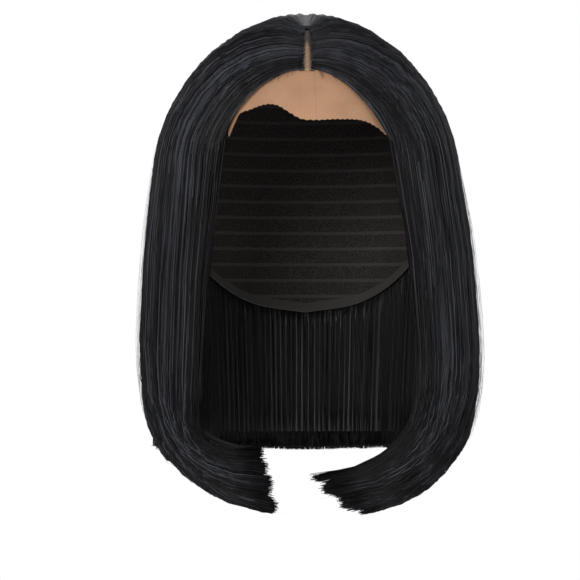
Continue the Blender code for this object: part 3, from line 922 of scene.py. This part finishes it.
@dataclass
class StrandSet:
    """Strands of one look on a panel. The order of the random draws decides how they fall."""

    form: HairForm
    turns: Pair
    look: StrandLook
    tips: Tips
    seed: int
    rng: Random

    def __post_init__(self) -> None:
        """Places the strands round the head, in clumps and wisps, and says where each begins and ends."""
        look, rng, count = self.look, self.rng, self.look.count
        self.turn = blend(*self.turns, (np.arange(count) + rng.random(count)) / count)
        self.clump = np.round((self.turn + look.clump_jitter * rng.normal(size=count)) / look.clump_deg)
        wisp = np.round(self.turn / look.wisp_deg)
        noise = np.random.default_rng(self.seed + NOISE_SEED).random((2, NOISE_SIZE))
        self.lift = noise[0, self.clump.astype(int) % NOISE_SIZE]
        self.shade = noise[1, wisp.astype(int) % NOISE_SIZE]
        self.from_part = look.begin[1] == 0.0
        begin = rng.uniform(*look.begin, count)
        uneven = 0.5 * (self.lift + self.shade) - look.uneven_middle
        end = 1.0 + self.tips.spread * uneven + look.tip_spread * (rng.random(count) - look.tip_bias)
        short = rng.random(count) < look.straggler_share
        end -= look.straggler_cut * short * rng.random(count)
        self.inside = np.zeros(count, bool) if self.from_part else rng.random(count) < look.inner_share
        self.begin = np.where(self.inside, rng.uniform(*look.inner_begin, count), begin)[:, None]
        self.along = blend(self.begin, end[:, None], np.linspace(0.0, 1.0, FINE_STEPS)[None, :])

    def path(self) -> Array:
        """Works out which way round the head each strand runs.

        Returns:
            Its direction at each point.
        """
        look, along = self.look, self.along
        at_end = over(along, look.tip_from)
        pull = look.pull * over(along, look.pull_from) * (1.0 - at_end) + self.tips.pull * at_end
        drift = self.rng.normal(0.0, look.drift_deg, look.count)[:, None] * (along - look.drift_middle)
        path = blend(self.turn[:, None], (self.clump * look.clump_deg)[:, None], pull) + drift
        low, high = sorted(self.turns)
        return signed_turn(np.clip(path, low - look.edge_past_deg, high + look.edge_past_deg))

    def depth(self) -> Array:
        """Works out how deep in the hair each strand lies.

        Returns:
            Its depth at each point.
        """
        look, rng, along, count = self.look, self.rng, self.along, self.look.count
        depth = rng.uniform(*look.depth, count)
        edge = np.minimum(np.abs(self.turn - self.turns[0]), np.abs(self.turn - self.turns[1]))
        depth = np.where(edge < look.edge_deg, rng.random(count), depth)
        inside = self.inside[:, None]
        depth = np.where(self.inside, rng.uniform(*look.inner_depth, count), depth)[:, None]
        depth = depth - look.clump_sink * self.lift[:, None] * over(along, look.sink_from) * ~inside
        at_tip = rng.uniform(0.0, 1.0, count)[:, None]
        mixed = over(along, look.tip_from) * (rng.random(count) < look.tip_mixed)[:, None]
        depth = blend(depth, at_tip, mixed)
        if self.from_part:
            return blend(look.root_depth, depth, over(along, look.root_from))
        sunk = blend(look.weft_depth, depth, over(along - self.begin, look.weft_from))
        return np.where(inside, depth, sunk)

    def loosen(self, points: Array) -> Array:
        """Lets roots reach over the part and ends flick out, and makes the strands wavy and smooth.

        Args:
            points: the strands' points.

        Returns:
            The moved points.
        """
        look, rng, along, count = self.look, self.rng, self.along, self.look.count
        if self.from_part:
            most = np.where(self.turn < 0.0, *look.cover)
            cover = rng.random(count) ** look.cover_power * blend(look.cover_least, 1.0, self.shade) * most
            points[..., 0] -= cover[:, None] * (1.0 - over(along, look.cover_from)) * points[:, :1, 0]
        ring = np.abs(self.turn)
        flick = over(ring, look.flick_from_deg) * (1.0 - over(ring, look.unflick_from_deg))
        flick = flick * rng.random(count) ** 2 * self.tips.flick
        out = points[..., :2] / np.linalg.norm(points[..., :2], axis=-1, keepdims=True)
        start, length = look.belly_from
        belly = self.tips.belly * np.sin(np.clip((along - start) / length, 0.0, 1.0) * math.pi)
        outward = flick[:, None] * over(along, look.flick_from) + look.belly_out * belly
        points[..., :2] += out * outward[..., None]
        points[..., 2] -= belly
        phase = rng.uniform(0.0, 2.0 * math.pi, (count, 3))
        swing = np.sin(along[..., None] * look.wave_turns + phase[:, None, :]) * np.array(look.wave_sides)
        points = points + look.wave * over(along, look.wave_from)[..., None] * swing
        soft = over(along[:, 1:-1], look.soft_from)[..., None]
        for _ in range(look.soft_rounds):
            middle = (points[:, :-2] + 2.0 * points[:, 1:-1] + points[:, 2:]) / 4.0
            points[:, 1:-1] = blend(points[:, 1:-1], middle, soft)
        return points

    def lines(self) -> tuple[Array, Array, Array]:
        """Works out the strands.

        Returns:
            Their points by strand and step, their radii and their tones, darker near the face's edge as
            painted shade.
        """
        look, rng, count = self.look, self.rng, self.look.count
        path, depth = self.path(), self.depth()
        points = self.form.point(path, self.along, np.broadcast_to(depth, self.along.shape))
        pick = np.round(np.array(look.stops) * (FINE_STEPS - 1)).astype(int)
        points = self.loosen(points)[:, pick]
        radius = look.radius * rng.uniform(*look.thickness, count)[:, None]
        taper = 1.0 - look.thin * over(pick[None, :] / (FINE_STEPS - 1), look.thin_from)
        parts = (self.lift, self.shade, rng.random(count))
        tone = sum(share * part for share, part in zip(look.tone_mix, parts))
        tone = look.tone_middle + look.tone_contrast * (tone - 0.5)
        # Painted shade: strands near the face's edge are darkened
        face = ease((self.form.face_deg + look.painted_face_shade_deg - np.abs(self.turn)) / look.painted_face_shade_deg)
        return points, radius * taper, np.clip(tone * (1.0 - look.shade * face), 0.0, 1.0)


@dataclass
class HairPanel:
    """One panel of hair: a shell of hair, full strands from the part, and strands that start lower."""

    name: str
    node: str
    form: HairForm
    turns: Pair
    looks: tuple[StrandLook, StrandLook]
    tips: Tips
    seed: int
    grid: tuple[int, int] = (84, 44)
    length: float = 0.988
    # Depth of the shell's inner face before and at the tips, then of its outer one at the root, below
    # it and at the tips
    low: Pair = (0.05, 0.40)
    high: Triple = (0.10, 0.62, 0.54)
    root_from: Pair = (0.0, 0.07)
    thin_from: Pair = (0.90, 0.10)

    def place(self, across: Array, along: Array, depth: Array) -> Array:
        """Points of the shell, inside the hair's outer face, low at the part and thin at the tips.

        Args:
            across: share of the panel's turn.
            along: share of the shell's length.
            depth: 0 for its inner and 1 for its outer face.

        Returns:
            The points.
        """
        root, full, end = self.high
        thin = over(along, self.thin_from)
        outer = blend(blend(root, full, over(along, self.root_from)), end, thin)
        turn = signed_turn(blend(*self.turns, across))
        return self.form.point(turn, along * self.length, blend(blend(*self.low, thin), outer, depth))

    def build(self, finish: HairFinish) -> list[Object]:
        """Makes the panel's pieces.

        Args:
            finish: the hair's finish.

        Returns:
            The pieces.
        """
        rng = np.random.default_rng(self.seed)
        strand, mass = finish.strand(), finish.mass()
        made = [make_shell(f"{self.name}_mass", self.grid, self.place, mass)]
        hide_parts(self.node)
        for label, look in zip(("strands", "wefts"), self.looks):
            lines = StrandSet(self.form, self.turns, look, self.tips, self.seed, rng).lines()
            made.append(make_strands(f"{self.name}_{label}", *lines, strand))
        return made


@dataclass
class Cap:
    """The dark net cap inside the hair."""

    head: HeadForm = HeadForm()
    grid: tuple[int, int] = (96, 30)

    def place(self, direction: Array, share: Array, depth: Array) -> Array:
        """Points of the cap: share 0 is its crown and 1 its rim."""
        return self.head.point(direction, self.head.rim_tilt(direction) * share, self.head.cap_wall * depth)

    def build(self, finish: NetFinish) -> Object:
        """Makes the cap from the upper half of a sphere, drawn down to the rim.

        Args:
            finish: the cap's net.

        Returns:
            The cap.
        """
        round_it, down = self.grid
        bm = bmesh.new()
        bmesh.ops.create_uvsphere(bm, u_segments=round_it, v_segments=down * 2, radius=1.0)
        quarter_step = math.pi / 8.0 / down
        low = [vert for vert in bm.verts if vert.co.z < -math.sin(quarter_step)]
        bmesh.ops.delete(bm, geom=low, context="VERTS")
        for vert in bm.verts:
            direction = math.degrees(math.atan2(vert.co.x, -vert.co.y))
            share = math.acos(min(1.0, max(-1.0, vert.co.z))) / (math.pi / 2.0)
            vert.co = (direction, share, 0.0)
        cap = close_sheet(bm, "cap_dome", self.place, finish.make())
        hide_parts("cap")
        return cap


@dataclass
class Lace:
    """The lace front with its wavy edge, and the strip of lace along the part."""

    form: HairForm
    end_deg: float = 78.75
    seam_gap: float = 0.0009
    wall: float = 0.0004
    tip_lift: float = 0.0030
    tip_power: float = 4.0
    pink_deg: float = 2.1
    pink_tilt: float = 0.45
    pink_power: float = 8.0
    strip_gap: float = 0.0004
    strip_wall: float = 0.0006
    grid: tuple[int, int] = (260, 16)
    strip_grid: tuple[int, int] = (8, 60)
    # Direction, tilt of the edge, and lift as a share of the tip's lift
    edge: Table = (
        (-80.0, 98.0, 0.0), (-60.0, 94.0, 0.0), (-46.0, 84.0, 0.0), (-39.0, 77.5, 0.0),
        (-35.5, 75.5, 0.0), (-33.2, 77.5, 0.4), (-31.2, 79.0, 1.0), (-28.7, 71.5, 0.4),
        (-25.0, 69.5, 0.0), (-17.0, 67.3, 0.0), (-11.4, 67.8, 0.0), (-6.0, 70.8, 0.0),
        (-1.0, 73.3, 0.0), (11.8, 73.1, 0.0), (22.7, 73.4, 0.0), (29.9, 75.8, 0.0),
        (33.6, 78.0, 0.0), (38.7, 79.5, 0.0), (46.0, 84.0, 0.0), (60.0, 94.0, 0.0),
        (80.0, 98.0, 0.0),
    )

    def front(self, across: Array, down: Array, depth: Array) -> Array:
        """Points of the front lace, from the cap's rim to the pinked edge.

        Args:
            across: share of the way from the right ear to the left one.
            down: share of the way from the rim to the edge.
            depth: 0 for the inner and 1 for the outer face.

        Returns:
            The points.
        """
        head = self.form.head
        direction = blend(-self.end_deg, self.end_deg, across)
        seam = head.rim_tilt(direction) + math.degrees(self.seam_gap / head.rise)
        edge, lift = np.moveaxis(read_table(self.edge, direction), -1, 0)
        pink = np.abs((direction / self.pink_deg) % 1.0 - 0.5) * 2.0 - 0.5
        tilt = blend(seam, edge + self.pink_tilt * pink * down**self.pink_power, down)
        raised = lift * self.tip_lift * down**self.tip_power
        return head.point(direction, tilt, head.cap_wall - self.wall * (1.0 - depth) + raised)

    def strip(self, across: Array, back: Array, depth: Array) -> Array:
        """Points of the strip along the part.

        Args:
            across: share of its width.
            back: share of the way from its front to its back end.
            depth: 0 for the inner and 1 for the outer face.

        Returns:
            The points.
        """
        form, head = self.form, self.form.head
        half = blend(form.part_half_front, form.part_half_back, back) - self.strip_gap
        x = blend(-half, half, across)
        y = -blend(form.part_front, form.part_back + form.panel_gap, back)
        lift = head.cap_wall + self.strip_gap + self.strip_wall * depth
        size = [inner + lift for inner in head.size]
        face = Surface(*size, head.profile_power, head.plan_power, -head.rise)
        return np.stack((x, y, face.height(x, y)), axis=-1)

    def build(self, finish: LaceFinish, part_finish: LaceFinish) -> list[Object]:
        """Makes the lace front and the strip.

        Args:
            finish: the front's lace.
            part_finish: the lace along the part, full of knots.

        Returns:
            Both pieces.
        """
        net, part = finish.make("lace_net"), part_finish.make("part_net")
        front = make_shell("lace_sheet", self.grid, self.front, net)
        strip = make_shell("part_lace", self.strip_grid, self.strip, part)
        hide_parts("lace_front")
        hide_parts("part_strip")
        return [front, strip]


@dataclass
class NapeLayer:
    """The under layer that hangs from the nape."""

    form: HairForm
    edge_deg: float = 110.0
    top_share: float = 0.55
    depth: float = 0.0050
    taper: float = 0.0060
    length: float = 0.2360
    grid: tuple[int, int] = (110, 24)
    shell_length: float = 0.97
    shell_depth: Pair = (0.15, 0.85)
    count: int = 820
    steps: int = 10
    radius: float = 0.00034
    thin_from: Pair = (0.88, 0.12)
    thin: float = 0.75
    begin: Pair = (0.0, 0.3)
    end_spread: Pair = (0.05, 0.012)
    clump_deg: float = 3.0
    pull: float = 0.5
    drift_deg: float = 0.8
    drift_middle: float = 0.4
    inner_share: float = 0.6
    inner_depth: Pair = (0.0, 0.2)
    outer_depth: float = 0.95
    # Painted shade: the layer's strands are held to this share of the full tone, darker than the outer
    # hair's
    tone: float = 0.60
    seed: int = 61

    def point(self, turn: Array, along: Array, depth: Array) -> Array:
        """Points of the layer.

        Args:
            turn: signed direction.
            along: share of the way down.
            depth: 0 on the inner face and 1 on the outer one.

        Returns:
            The points, on the last axis.
        """
        head = self.form.head
        rim_tilt = head.rim_tilt(turn)
        top_tilt = blend(90.0, rim_tilt, self.top_share)
        offset = self.form.offset + self.depth * depth * blend(self.form.root_share, 1.0, ease(along * 2.0))
        top, rim = head.point(turn, top_tilt, offset), head.point(turn, rim_tilt, offset)
        upper = head.point(turn, blend(top_tilt, rim_tilt, np.minimum(along * 2.0, 1.0)), offset)
        down = np.maximum(along * 2.0 - 1.0, 0.0)
        keep = 1.0 - self.taper / np.hypot(top[..., 0], top[..., 1]) * down
        level = blend(rim[..., 2], -self.length, down)
        lower = np.stack((rim[..., 0] * keep, rim[..., 1] * keep, level), axis=-1)
        return np.where((along <= 0.5)[..., None], upper, lower)

    def place(self, across: Array, along: Array, depth: Array) -> Array:
        """Points of the layer's shell."""
        turn = signed_turn(blend(self.edge_deg, 360.0 - self.edge_deg, across))
        return self.point(turn, along * self.shell_length, blend(*self.shell_depth, depth))

    def build(self, finish: HairFinish) -> list[Object]:
        """Makes the layer's shell and its strands.

        Args:
            finish: the layer's finish, darker than the outer hair's as painted shade.

        Returns:
            Both pieces.
        """
        rng, count = np.random.default_rng(self.seed), self.count
        shell = make_shell("nape_mass", self.grid, self.place, finish.mass())
        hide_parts("hair_nape")
        across = (np.arange(count) + rng.random(count)) / count
        turn = blend(self.edge_deg, 360.0 - self.edge_deg, across)[:, None]
        centre = np.round(turn / self.clump_deg) * self.clump_deg
        shorter, longer = self.end_spread
        end = 1.0 - shorter * rng.random(count) ** 2 + longer * rng.random(count)
        share = np.linspace(0.0, 1.0, self.steps)[None, :]
        along = blend(rng.uniform(*self.begin, count)[:, None], end[:, None], share)
        path = blend(turn, centre, self.pull * ease(along))
        path = path + rng.normal(0.0, self.drift_deg, count)[:, None] * (along - self.drift_middle)
        inner = rng.random(count) < self.inner_share
        depth = np.where(inner, rng.uniform(*self.inner_depth, count), self.outer_depth)[:, None]
        lines = self.point(signed_turn(path), along, np.broadcast_to(depth, along.shape))
        radius = self.radius * (1.0 - self.thin * over(share, self.thin_from)) * np.ones((count, 1))
        # Painted shade: the layer's strands are held darker than the outer hair
        tone = rng.random(count) * self.tone
        return [shell, make_strands("nape_strands", lines, radius, tone, finish.strand())]


@dataclass
class Flyaways:
    """Loose hairs that stand off the outline, hair in front of the hairline, and baby hairs on the lace."""

    form: HairForm
    loose: int = 380
    loose_deg: Pair = (40.0, 178.0)
    loose_begin: Pair = (0.35, 0.70)
    loose_end: Pair = (0.82, 1.03)
    loose_drift_deg: float = 2.0
    loose_depth: float = 0.96
    # Least bulge, how much more it may be, and the power that makes wide ones rare
    bulge: Triple = (0.03, 0.33, 1.8)
    bulge_turn: float = 0.8
    baby: int = 200
    baby_power: float = 1.3
    baby_back: float = 0.42
    baby_depth: float = 0.2
    baby_hidden_deg: float = 1.5
    baby_reach_deg: Pair = (3.0, 11.0)
    baby_sweep_deg: Pair = (-1.0, 9.0)
    baby_sweep_power: float = 1.5
    baby_slow: float = 0.35
    baby_lift: Pair = (0.0004, 0.0012)
    edge: int = 160
    edge_left: float = 0.7
    # How far hair falls in front of the hairline, on the right and on the left
    edge_reach_deg: Pair = (0.9, 3.0)
    edge_reach_power: float = 0.7
    edge_end: Pair = (0.50, 0.78)
    edge_depth: Pair = (0.05, 0.85)
    radius: float = 0.00007
    # Thickness and steps of loose, baby and hairline hairs
    sizes: Triple = (1.0, 1.5, 3.4)
    steps: tuple[int, int, int] = (10, 9, 12)
    thickness: Pair = (0.7, 1.3)
    thin: float = 0.8
    seed: int = 97

    def stray(self, rng: Random) -> Array:
        """Works out loose hairs that leave the outer face and hang beside it.

        Args:
            rng: the random numbers.

        Returns:
            Their lines.
        """
        share, count = np.linspace(0.0, 1.0, self.steps[0])[None, :], self.loose
        turn = rng.uniform(*self.loose_deg, count) * rng.choice((-1.0, 1.0), count)
        begin, end = rng.uniform(*self.loose_begin, count), rng.uniform(*self.loose_end, count)
        low, more, power = self.bulge
        size = (low + more * rng.random(count) ** power)[:, None]
        bulge = size * np.sin(share * math.pi * self.bulge_turn)
        path = signed_turn(turn[:, None] + rng.normal(0.0, self.loose_drift_deg, count)[:, None] * share)
        return self.form.point(path, blend(begin[:, None], end[:, None], share), self.loose_depth + bulge)

    def fringe(self, rng: Random) -> Array:
        """Works out short hairs that lie on the lace beside the hairline.

        Args:
            rng: the random numbers.

        Returns:
            Their lines.
        """
        share, head, count = np.linspace(0.0, 1.0, self.steps[1])[None, :], self.form.head, self.baby
        side = rng.choice((-1.0, 1.0), count)
        root = rng.random(count) ** self.baby_power * self.baby_back
        start = self.form.point(side * self.form.face_deg, root, np.full(count, self.baby_depth))
        plan = np.degrees(np.arctan2(start[:, 0] / head.half_width, -start[:, 1] / head.front))
        rise = np.clip((start[:, 2] + head.rise) / (head.rise + head.cap_wall), 0.0, 1.0)
        tilt = np.degrees(np.arccos(rise ** (head.profile_power / 2.0)))[:, None]
        reach = rng.uniform(*self.baby_reach_deg, count)[:, None]
        sweep = side * rng.uniform(*self.baby_sweep_deg, count)
        direction = plan[:, None] + sweep[:, None] * share**self.baby_sweep_power
        lean = tilt - self.baby_hidden_deg + reach * share * (1.0 - self.baby_slow * share)
        low, arch = self.baby_lift
        return head.point(direction, lean, head.cap_wall + low + arch * np.sin(share * math.pi))

    def hairline(self, rng: Random) -> Array:
        """Works out the hair that falls in front of the curtains' edges at the brow.

        Args:
            rng: the random numbers.

        Returns:
            Its lines.
        """
        share, count = np.linspace(0.0, 1.0, self.steps[2])[None, :], self.edge
        side = np.where(rng.random(count) < self.edge_left, 1.0, -1.0)
        right, left = self.edge_reach_deg
        most = np.where(side > 0.0, left, right)
        along = rng.uniform(*self.edge_end, count)[:, None] * share
        bump = np.sin(np.clip(along / self.form.dome_share, 0.0, 1.0) * math.pi)
        inward = (most * rng.random(count) ** self.edge_reach_power)[:, None] * bump
        path = self.form.face_deg + rng.uniform(0.0, 1.0, count)[:, None] - inward
        depth = rng.uniform(*self.edge_depth, count)[:, None]
        return self.form.point(side[:, None] * path, along, np.broadcast_to(depth, along.shape))

    def build(self, finish: HairFinish) -> list[Object]:
        """Makes the loose hairs, the hairline and the baby hairs.

        Args:
            finish: the hair's finish.

        Returns:
            The pieces.
        """
        rng = np.random.default_rng(self.seed)
        strand, made = finish.strand(), []
        kinds = (self.stray(rng), self.fringe(rng), self.hairline(rng))
        for name, lines, size in zip(("loose_hairs", "baby_hairs", "hairline"), kinds, self.sizes):
            count, steps = lines.shape[:2]
            taper = 1.0 - self.thin * np.linspace(0.0, 1.0, steps)[None, :] ** 2
            radius = self.radius * size * taper * rng.uniform(*self.thickness, (count, 1))
            made.append(make_strands(name, lines, radius, rng.random(count), strand))
        return made


@dataclass
class Studio:
    """Pale floor, soft lights and the camera at the photograph's angle."""

    image_side: int = 580
    metres_a_pixel: float = 0.00057
    outline_column: float = 306.0
    crown_row: float = 14.0
    crown_height: float = 0.0100
    distance: float = 1.50
    sensor: float = 36.0
    near: float = 0.05
    aim: Triple = (0.0, 0.0, -0.10)
    white: Triple = (1.0, 1.0, 1.0)
    sky: Triple = (0.95, 0.97, 1.0)
    sky_power: float = 0.19
    floor_level: float = -0.950
    floor_radius: float = 1.40
    floor_sides: int = 96
    floor_tones: Pair = (0.86, 0.90)
    floor_stops: Pair = (0.3, 0.7)
    floor_grain: float = 6.0
    floor_roughness: float = 0.9
    # Place, width and height, and power in watts
    lights: tuple = (
        ("key", (-0.50, -1.55, 0.25), (0.60, 0.60), 18.2),
        ("fill", (0.60, -1.45, 0.05), (0.70, 0.90), 7.3),
        ("top", (0.0, -0.20, 1.15), (0.80, 0.70), 1.2),
        ("back", (0.0, 1.10, 0.85), (0.90, 0.60), 3.0),
        ("back_right", (-1.10, 1.00, 0.20), (0.60, 0.90), 8.0),
        ("back_left", (1.20, 0.90, 0.30), (0.60, 0.90), 6.5),
    )

    def camera(self) -> None:
        """Makes the camera level with the middle of the photograph, looking along +Y."""
        middle = self.image_side / 2.0
        x = (middle - self.outline_column) * self.metres_a_pixel
        z = self.crown_height - (middle - self.crown_row) * self.metres_a_pixel
        data = bpy.data.cameras.new("camera")
        data.sensor_width = self.sensor
        data.lens = self.sensor * self.distance / (self.image_side * self.metres_a_pixel)
        data.clip_start = self.near
        item = bpy.data.objects.new("camera", data)
        item.location = (x, -self.distance, z)
        item.rotation_euler = (math.pi / 2.0, 0.0, 0.0)
        bpy.context.scene.collection.objects.link(item)
        bpy.context.scene.camera = item

    def lamps(self) -> None:
        """Adds the soft rectangular lights, aimed at the wig."""
        for name, place, size, power in self.lights:
            data = bpy.data.lights.new(name, "AREA")
            data.shape = "RECTANGLE"
            data.size, data.size_y = size
            data.energy = power
            item = bpy.data.objects.new(name, data)
            item.location = place
            item.rotation_euler = (Vector(self.aim) - Vector(place)).to_track_quat("-Z", "Y").to_euler()
            bpy.context.scene.collection.objects.link(item)

    def world(self) -> None:
        """White surroundings to the eye, soft grey ones to the hair."""
        world = bpy.data.worlds.new("studio")
        bpy.context.scene.world = world
        world.use_nodes = True
        world.node_tree.nodes.clear()
        graph = Graph(world.node_tree)
        seen = graph.node("Background", {"Color": (*self.white, 1.0)}).outputs[0]
        lit = {"Color": (*self.sky, 1.0), "Strength": self.sky_power}
        unseen = graph.node("Background", lit).outputs[0]
        ray = graph.node("LightPath", {}).outputs["Is Camera Ray"]
        both = graph.node("MixShader", {0: ray, 1: unseen, 2: seen}).outputs[0]
        graph.node("OutputWorld", {"Surface": both})

    def floor(self) -> None:
        """Makes the pale floor."""
        bm = bmesh.new()
        bmesh.ops.create_circle(bm, cap_ends=True, radius=self.floor_radius, segments=self.floor_sides)
        mesh = bpy.data.meshes.new("floor")
        bm.to_mesh(mesh)
        bm.free()
        for vert in mesh.vertices:
            vert.co.z = self.floor_level
        material, graph, shader = new_material("floor_paint")
        drift = graph.noise(graph.coords("Object"), (self.floor_grain,) * 3, 2.0)
        colour = graph.ramp(drift, self.floor_stops, [(tone,) * 3 for tone in self.floor_tones])
        graph.fill(shader, {"Base Color": colour, "Roughness": self.floor_roughness})
        mesh.materials.append(material)
        item = bpy.data.objects.new("floor", mesh)
        bpy.context.scene.collection.objects.link(item)

    def build(self) -> None:
        """Makes the studio."""
        bpy.context.scene.view_settings.view_transform = "Standard"
        self.camera()
        self.world()
        self.floor()
        self.lamps()


def hair_panels(form: HairForm) -> tuple[HairPanel, ...]:
    """Says how the three outer panels are made.

    Args:
        form: the strand rule.

    Returns:
        The right curtain, the left curtain and the back.
    """
    side_stops = (0.0, 0.015, 0.04, 0.08, 0.14, 0.21, 0.29, 0.37, 0.44)
    side_stops += (0.50, 0.62, 0.74, 0.79, 0.84, 0.89, 0.945, 1.0)
    weft_stops = (0.0, 0.10, 0.21, 0.33, 0.46, 0.60, 0.71, 0.79, 0.86, 0.93, 1.0)
    back_stops = (0.0, 0.015, 0.04, 0.075, 0.12, 0.17, 0.22, 0.27, 0.32)
    back_stops += (0.38, 0.44, 0.50, 0.58, 0.68, 0.76, 0.84, 0.92, 1.0)
    even_stops = tuple(np.linspace(0.0, 1.0, 12))
    low = {"begin": (0.02, 0.40), "depth": (0.68, 0.98)}
    side = (StrandLook(1600, side_stops, 0.00031), StrandLook(1950, weft_stops, 0.00034, **low))
    back = (StrandLook(1250, back_stops, 0.00035), StrandLook(1800, even_stops, 0.00037, **low))
    blunt = Tips(pull=0.15, spread=0.010, belly=0.0)
    ragged = Tips(pull=0.15, spread=0.012, belly=0.0034, flick=0.0130)
    pointed = Tips(pull=0.22, spread=0.024, belly=0.0020)
    gap = math.degrees(form.panel_gap / 2.0 / BACK_RADIUS)
    face, side_end, back_end = form.face_deg, form.side_back_deg - gap, form.side_back_deg + gap
    return (
        HairPanel("right_curtain", "hair_right", form, (-face, -side_end), side, ragged, SEED),
        HairPanel("left_curtain", "hair_left", form, (face, side_end), side, pointed, SEED + 1),
        HairPanel("back_hair", "hair_back", form, (back_end, 360.0 - back_end), back, blunt, SEED + 2),
    )


def main() -> None:
    """Builds the wig's pieces and the studio."""
    logging.basicConfig(level=logging.INFO, format="%(message)s")
    form, hair = HairForm(), HairFinish()
    # Painted shade: the nape layer's finish is darker than the outer hair's, for the hair that hangs under
    # it
    under = HairFinish(
        slot="under_hair", middle=(0.0028, 0.0029, 0.0036), light=(0.0110, 0.0114, 0.0140), specular=0.22
    )
    part_lace = LaceFinish(
        thread=(0.420, 0.270, 0.160),
        shade=(0.260, 0.160, 0.095),
        cells=(9.0, 60.0),
        knots=(15.0, 90.0),
        knot_size=0.30,
        knot_end=2.0,
        middle=0.53,
        seam_shade=0.0,
        root_shade=0.96,
        grain=800.0,
    )
    pieces = [Cap(form.head).build(NetFinish())]
    pieces += Lace(form).build(LaceFinish(), part_lace)
    for panel in hair_panels(form):
        pieces += panel.build(hair)
    pieces += NapeLayer(form).build(under) + Flyaways(form).build(hair)
    for piece in pieces:
        LOG.info("made %s with %d faces", piece.name, len(piece.data.polygons))
    Studio().build()


if __name__ == "__main__":
    main()
